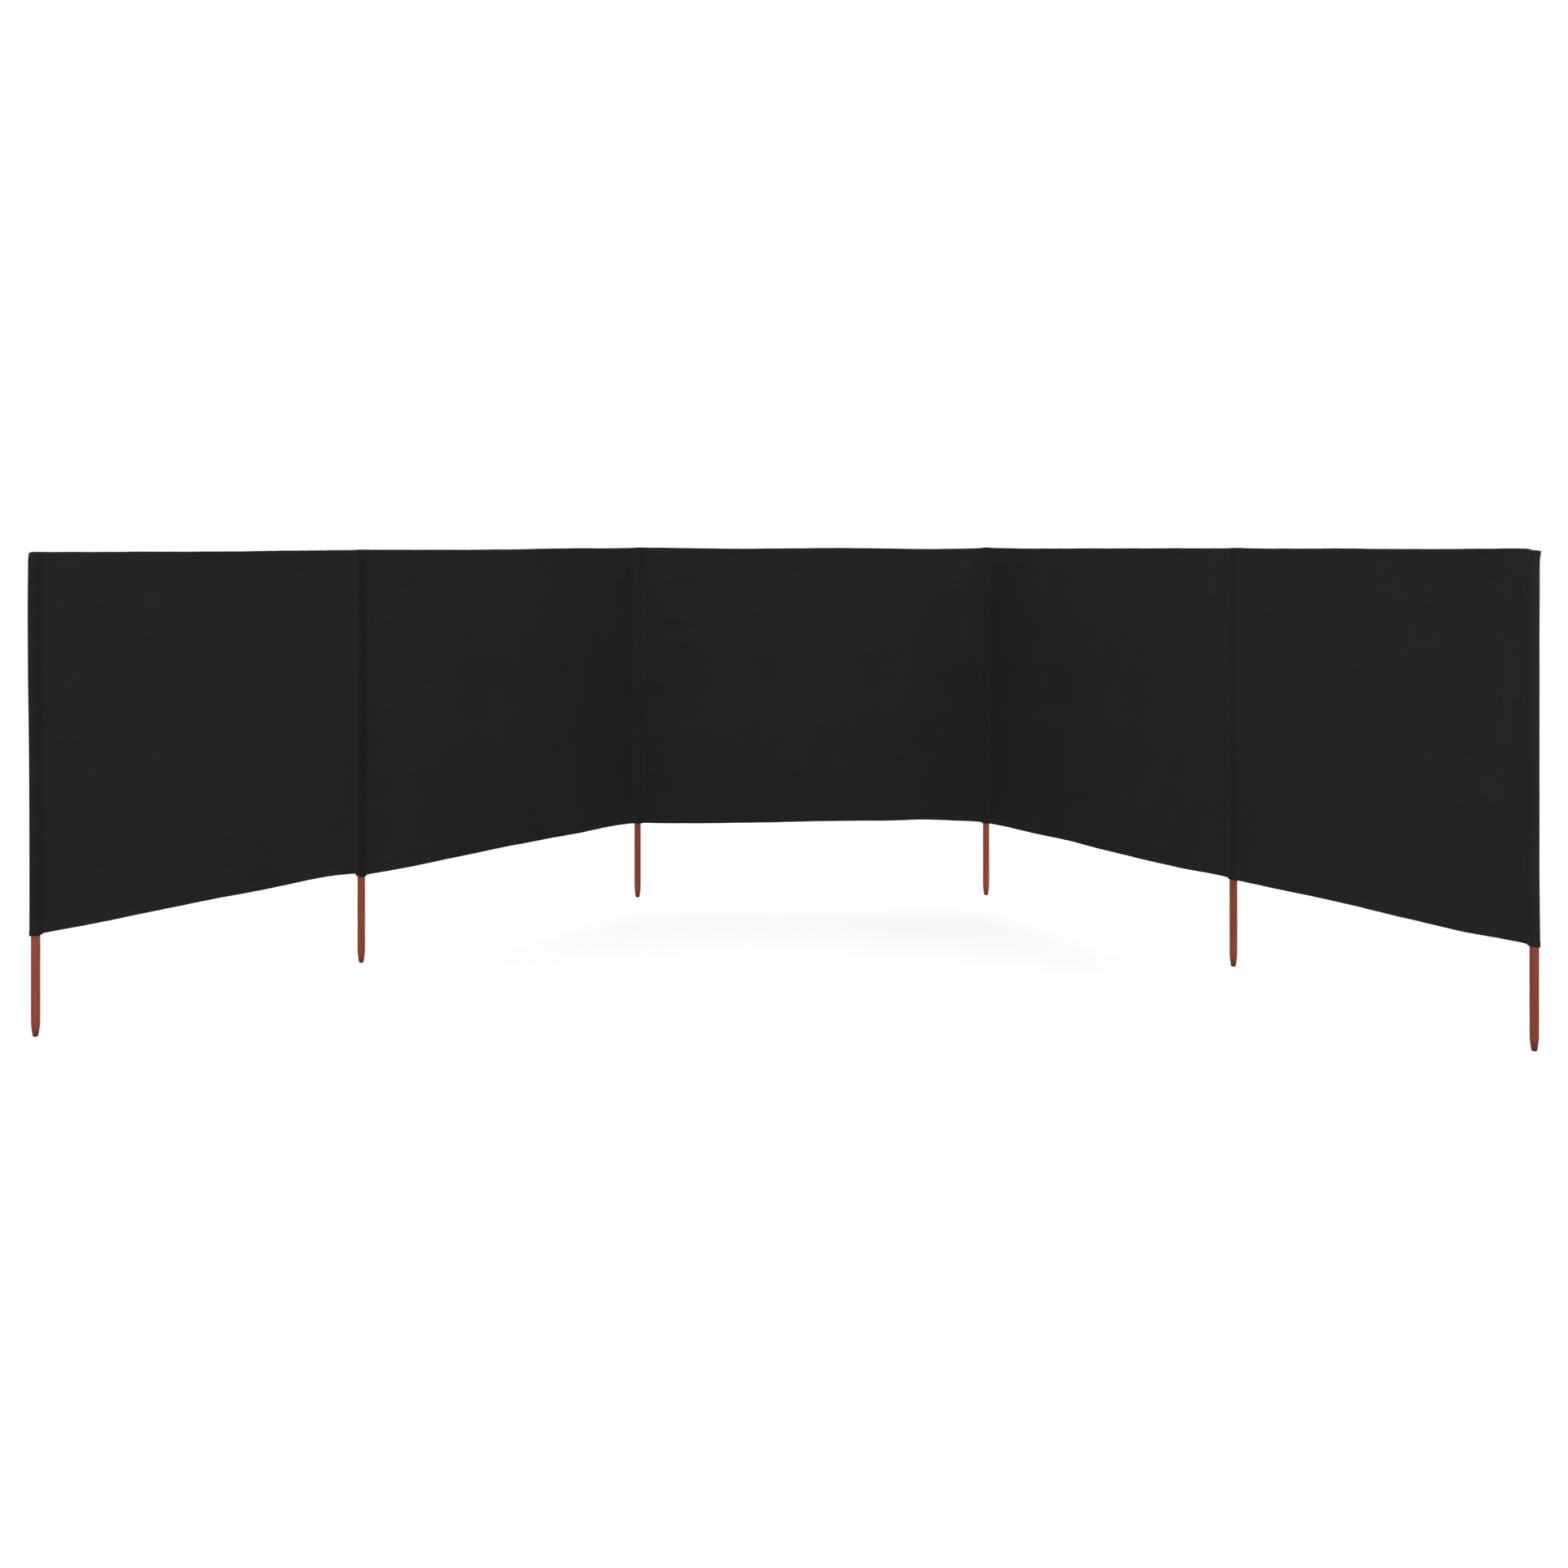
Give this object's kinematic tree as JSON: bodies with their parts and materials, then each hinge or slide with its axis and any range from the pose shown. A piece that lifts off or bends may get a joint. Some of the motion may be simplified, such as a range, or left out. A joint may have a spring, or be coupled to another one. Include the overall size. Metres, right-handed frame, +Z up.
{
  "type": "beach windbreak",
  "caption": "Free-standing run of cloth bays on wooden poles with tapered tips, pushed into sand or turf to shelter people from wind.",
  "frame": {"origin": "middle of the blunt tip of pole 3, the left pole of the middle bay seen from the sheltered side", "axes": "+X along the middle bay from pole 3 to pole 4, -Y to the sheltered side that the wings fold towards, +Z up along the poles"},
  "size_m": [3.6788, 1.9601, 1.2],
  "materials": {
    "pole_wood": "satin",
    "cloth": "matte"
  },
  "bodies": {
    "middle_bay": {"panel_3": "cloth", "top_hem_3": "cloth", "bottom_hem_3": "cloth", "pole_3": "pole_wood", "sleeve_3": "cloth", "pole_4": "pole_wood", "sleeve_4": "cloth"},
    "left_bay": {"panel_2": "cloth", "top_hem_2": "cloth", "bottom_hem_2": "cloth", "pole_2": "pole_wood", "sleeve_2": "cloth"},
    "left_end_bay": {"panel_1": "cloth", "top_hem_1": "cloth", "bottom_hem_1": "cloth", "pole_1": "pole_wood", "sleeve_1": "cloth"},
    "right_bay": {"panel_4": "cloth", "top_hem_4": "cloth", "bottom_hem_4": "cloth", "pole_5": "pole_wood", "sleeve_5": "cloth"},
    "right_end_bay": {"panel_5": "cloth", "top_hem_5": "cloth", "bottom_hem_5": "cloth", "pole_6": "pole_wood", "sleeve_6": "cloth"}
  },
  "joints": [
    {"name": "left_fold", "type": "hinge", "parent": "middle_bay", "child": "left_bay", "pos_m": [0, 0, 0], "axis": [0, 0, 1], "range_deg": [-96, 19]},
    {"name": "left_end_fold", "type": "hinge", "parent": "left_bay", "child": "left_end_bay", "pos_m": [-0.75518, -0.93258, 0], "axis": [0, 0, 1], "range_deg": [-43.5, 71.5]},
    {"name": "right_fold", "type": "hinge", "parent": "middle_bay", "child": "right_bay", "pos_m": [1.2, 0, 0], "axis": [0, 0, -1], "range_deg": [-107, 8]},
    {"name": "right_end_fold", "type": "hinge", "parent": "right_bay", "child": "right_end_bay", "pos_m": [1.76337, -1.05954, 0], "axis": [0, 0, -1], "range_deg": [-44, 71]}
  ]
}
